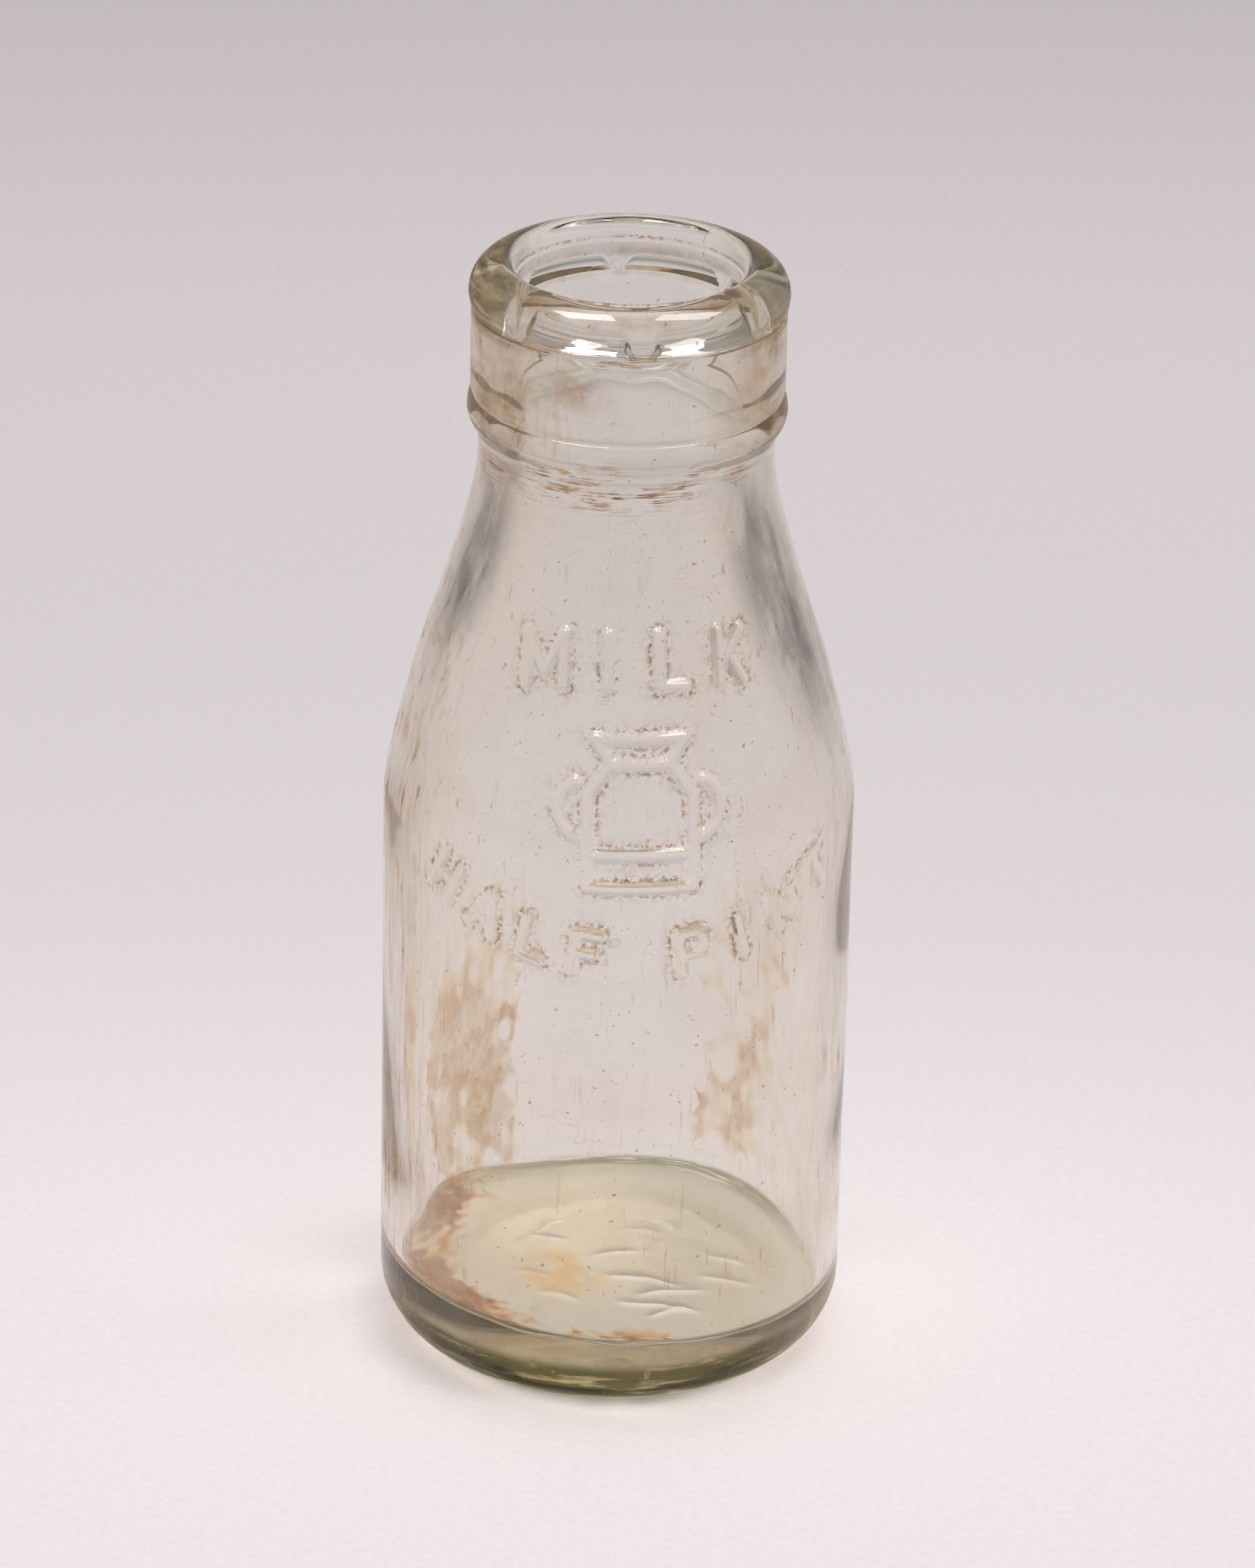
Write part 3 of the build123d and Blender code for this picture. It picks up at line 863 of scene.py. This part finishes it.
def glass_material():
    """Clear glass with a faint tint, painted shade and painted reflections, under dust, dirt and
    the floor's film with its painted light and shade.
    """
    mat, tree = new_material("bottle_glass")
    plain, upright = place(tree, (1, 1, 1)), place(tree, (1, 1, 0.10))
    haze, grime_and_shade, edge = masks_of(tree, "wear_and_painted_light")[:3]
    streak, scuff, film = masks_of(tree, "marks")[:3]
    # painted light and shade of the chill marks, and olive tint with painted shade where the
    # glass is thick
    lit, shaded, thick = masks_of(tree, "painted_light_and_tint")[:3]
    # where the painted dark reflections on the shoulders are
    dark_reflection = masks_of(tree, "dark_reflections")[0]
    lamp = node(tree, "ShaderNodeLightPath").outputs["Is Shadow Ray"]
    thin = maths(tree, "SUBTRACT", 1.0, times(tree, lamp, LAMP_THROUGH))

    tone = glass_tone(tree, thick, dark_reflection)
    inputs = {"Color": tone, "Roughness": 0.0, "IOR": GLASS_IOR}
    glass = node(tree, "ShaderNodeBsdfGlass", inputs)
    clear = node(tree, "ShaderNodeBsdfTransparent", {"Color": (0.99, 0.99, 0.99, 1)})
    body = mix_shader(tree, lamp, glass.outputs[0], clear.outputs[0])

    pale = haze_cover(tree, plain, upright, haze)
    milky = times(tree, film, patches(tree, plain, (60, 4, 0.6), (0.25, 0.75), FILM_COVER))
    ground = film_colour(tree, plain, lit, shaded)
    colour = mix_colour(tree, ramp(tree, film, 0.05, 0.4), PALE, ground)
    cover = most(tree, times(tree, pale, thin), milky)
    body = mix_shader(tree, cover, body, thin_layer(tree, colour, FILM_THROUGH))

    brown = dirt_cover(tree, plain, upright, haze, grime_and_shade, edge, streak, scuff)
    dirt = mix_colour(tree, patches(tree, plain, (420, 3, 0.6), (0.45, 0.66)), TAN, BROWN)
    surface = mix_shader(tree, times(tree, brown, thin), body, thin_layer(tree, dirt))

    lighter = times(tree, lamp, TINT_DENSITY - LAMP_DENSITY)
    density = maths(tree, "SUBTRACT", TINT_DENSITY, lighter)
    inputs = {"Color": GLASS_TINT, "Density": density}
    tint = node(tree, "ShaderNodeVolumeAbsorption", inputs)
    node(tree, "ShaderNodeOutputMaterial", {"Surface": surface, "Volume": tint.outputs[0]})
    return mat


def residue_material(name, dark, light, most_cover, stretch):
    """A dry deposit that thins out towards its edges."""
    mat, tree = new_material(name)
    plain, upright = place(tree, (1, 1, 1)), place(tree, (1, 1, stretch))
    cover = masks_of(tree, "cover")[0]
    blotch = patches(tree, upright, (170, 5, 0.65), (0.36, 0.66))
    grain = patches(tree, upright, (700, 4, 0.65), (0.30, 0.70), (0.55, 1.0))
    heavy = maths(tree, "ADD", cover, times(tree, noise(tree, plain, 240, 4, 0.6), 0.9))
    colour = mix_colour(tree, ramp(tree, heavy, 0.95, 1.45), light, dark)
    blotched = maths(tree, "ADD", times(tree, blotch, 0.6), 0.4)
    cover = times(tree, cover, blotched, grain, most_cover)
    clear = node(tree, "ShaderNodeBsdfTransparent")
    surface = mix_shader(tree, cover, clear.outputs[0], thin_layer(tree, colour))
    node(tree, "ShaderNodeOutputMaterial", {"Surface": surface})
    return mat


def floor_material():
    """A pale matt floor with a fine grain, and painted shade in a band behind the bottle."""
    mat, tree = new_material("floor")
    grain = patches(tree, place(tree, (1, 1, 1)), (900, 2), (0.35, 0.65))
    colour = mix_colour(tree, grain, FLOOR_DARK, FLOOR_LIGHT)
    back = node(tree, "ShaderNodeSeparateXYZ", {0: place(tree, (1, 1, 1))}).outputs[1]
    # painted shade in a band behind the bottle, fading out further back
    shade_band = times(tree, ramp(tree, back, 0.0, 0.16), ramp(tree, back, 0.20, 0.45, 0.45, 0.0))
    colour = mix_colour(tree, shade_band, colour, FLOOR_SHADE)
    surface = node(tree, "ShaderNodeBsdfDiffuse", {"Color": colour})
    node(tree, "ShaderNodeOutputMaterial", {"Surface": surface.outputs[0]})
    return mat


# ---- studio ---------------------------------------------------------------------------------
CAMERA_TILT, CAMERA_ROLL = 24.671, 1.275  # degrees
CAMERA_AWAY = 30.5656  # body radii from the place that it aims at
AIM_X, AIM_Z = 0.0355, 2.563  # body radii
SENSOR_W, LENS = 36.0, 165.04


def make_floor():
    """The floor, in metres: wide in front of the bottle and narrower at the back."""
    side, wide, front, back = 0.9, 1.7, -1.7, 0.75
    level = -0.00004  # just under the ring that the bottle stands on
    mesh = bpy.data.meshes.new("floor")
    corners = [(-wide, front), (wide, front), (side, back), (-side, back)]
    mesh.from_pydata([(x, y, level) for x, y in corners], [], [(0, 1, 2, 3)])
    floor = bpy.data.objects.new("floor", mesh)
    bpy.context.scene.collection.objects.link(floor)
    mesh.materials.append(floor_material())


def softbox(name, middle, width, depth, power):
    """A flat light overhead that faces straight down."""
    light = bpy.data.lights.new(name, "AREA")
    light.shape = "RECTANGLE"
    light.size, light.size_y = width, depth
    light.energy = power
    lamp = bpy.data.objects.new(name, light)
    lamp.location = middle
    bpy.context.scene.collection.objects.link(lamp)


def make_world():
    """Soft light from all round, brightest near the horizon."""
    world = bpy.data.worlds.new("studio")
    world.use_nodes = True
    tree = world.node_tree
    tree.nodes.clear()
    coords = node(tree, "ShaderNodeTexCoord").outputs["Generated"]
    up = node(tree, "ShaderNodeSeparateXYZ", {0: coords}).outputs[2]
    colour = mix_colour(tree, ramp(tree, up, 0.05, 0.5), SKY_LOW, SKY_HIGH)
    sky = node(tree, "ShaderNodeBackground", {"Color": colour, "Strength": 1.0})
    node(tree, "ShaderNodeOutputWorld", {"Surface": sky.outputs[0]})
    bpy.context.scene.world = world


def make_camera():
    """Looks down at the front of the bottle, turned by a slight roll."""
    elevation, roll = math.radians(CAMERA_TILT), math.radians(CAMERA_ROLL)
    distance = CAMERA_AWAY * BODY_R * MM
    aim = Vector((AIM_X * BODY_R * MM, 0, AIM_Z * BODY_R * MM))
    back = Vector((0, -math.cos(elevation), math.sin(elevation)))
    data = bpy.data.cameras.new("camera")
    data.sensor_width = SENSOR_W
    data.lens = LENS
    data.clip_start, data.clip_end = 0.05, 20
    camera = bpy.data.objects.new("camera", data)
    turned = (-back).to_track_quat("-Z", "Y").to_matrix() @ Matrix.Rotation(roll, 3, "Z")
    camera.matrix_world = Matrix.Translation(aim + back * distance) @ turned.to_4x4()
    bpy.context.scene.collection.objects.link(camera)
    bpy.context.scene.camera = camera


# ---- the scene ------------------------------------------------------------------------------
make_camera()
make_world()
make_floor()
softbox("left_box", (-0.275, -0.09, 0.91), 0.38, 0.30, 3.7)
softbox("right_box", (0.40, -0.04, 0.91), 0.50, 0.30, 3.5)
bpy.context.scene.view_settings.view_transform = "Standard"

glass = make_glass()
glass.data.materials.append(glass_material())

rust = residue_material("rust", RUST_DARK, RUST_LIGHT, most_cover=1.0, stretch=0.9)
film = residue_material("film", FILM_DARK, FILM_LIGHT, most_cover=0.62, stretch=0.7)
foot = ALONG[-1] - (INNER_R - CORNER_R)  # where the floor begins, along the outline
corner = foot - CORNER_R * math.pi / 2  # where the straight inner wall ends
ring, wall, edge = (foot + 1.8, 3.8), (corner - 8, 38), (corner - 30, 40)  # densest parts
wall_top, edge_top = corner - 46, corner - 56
thick, thin = 0.15, 0.08
for name, slot, stuff, patch in [
    # middle and half of the angle, start and end along the outline, densest part, thickness,
    # seed, stretch of the waves, fullness
    (
        "crust_left", "rust_crust", rust,
        (-75, 60, corner - 1, foot + 10.0, ring, thick, SEED + 10, 0.6, 1.25),
    ),
    (
        "crust_front", "rust_crust", rust,
        (4, 17, corner + 1, foot + 8.5, ring, thick, SEED + 12, 0.7, 0.7),
    ),
    (
        "film_left", "dried_film", film,
        (-130, 23, wall_top, corner + 7, wall, thin, SEED + 15, 1.5, 1.2),
    ),
    (
        "film_right", "dried_film", film,
        (136, 22, wall_top, corner + 1, wall, thin, SEED + 16, 1.3, 0.6),
    ),
    (
        "film_edge", "dried_film", film,
        (-78, 20, edge_top, corner + 1, edge, thin, SEED + 18, 2.4, 0.5),
    ),
]:
    make_residue(name, slot, *patch).data.materials.append(stuff)
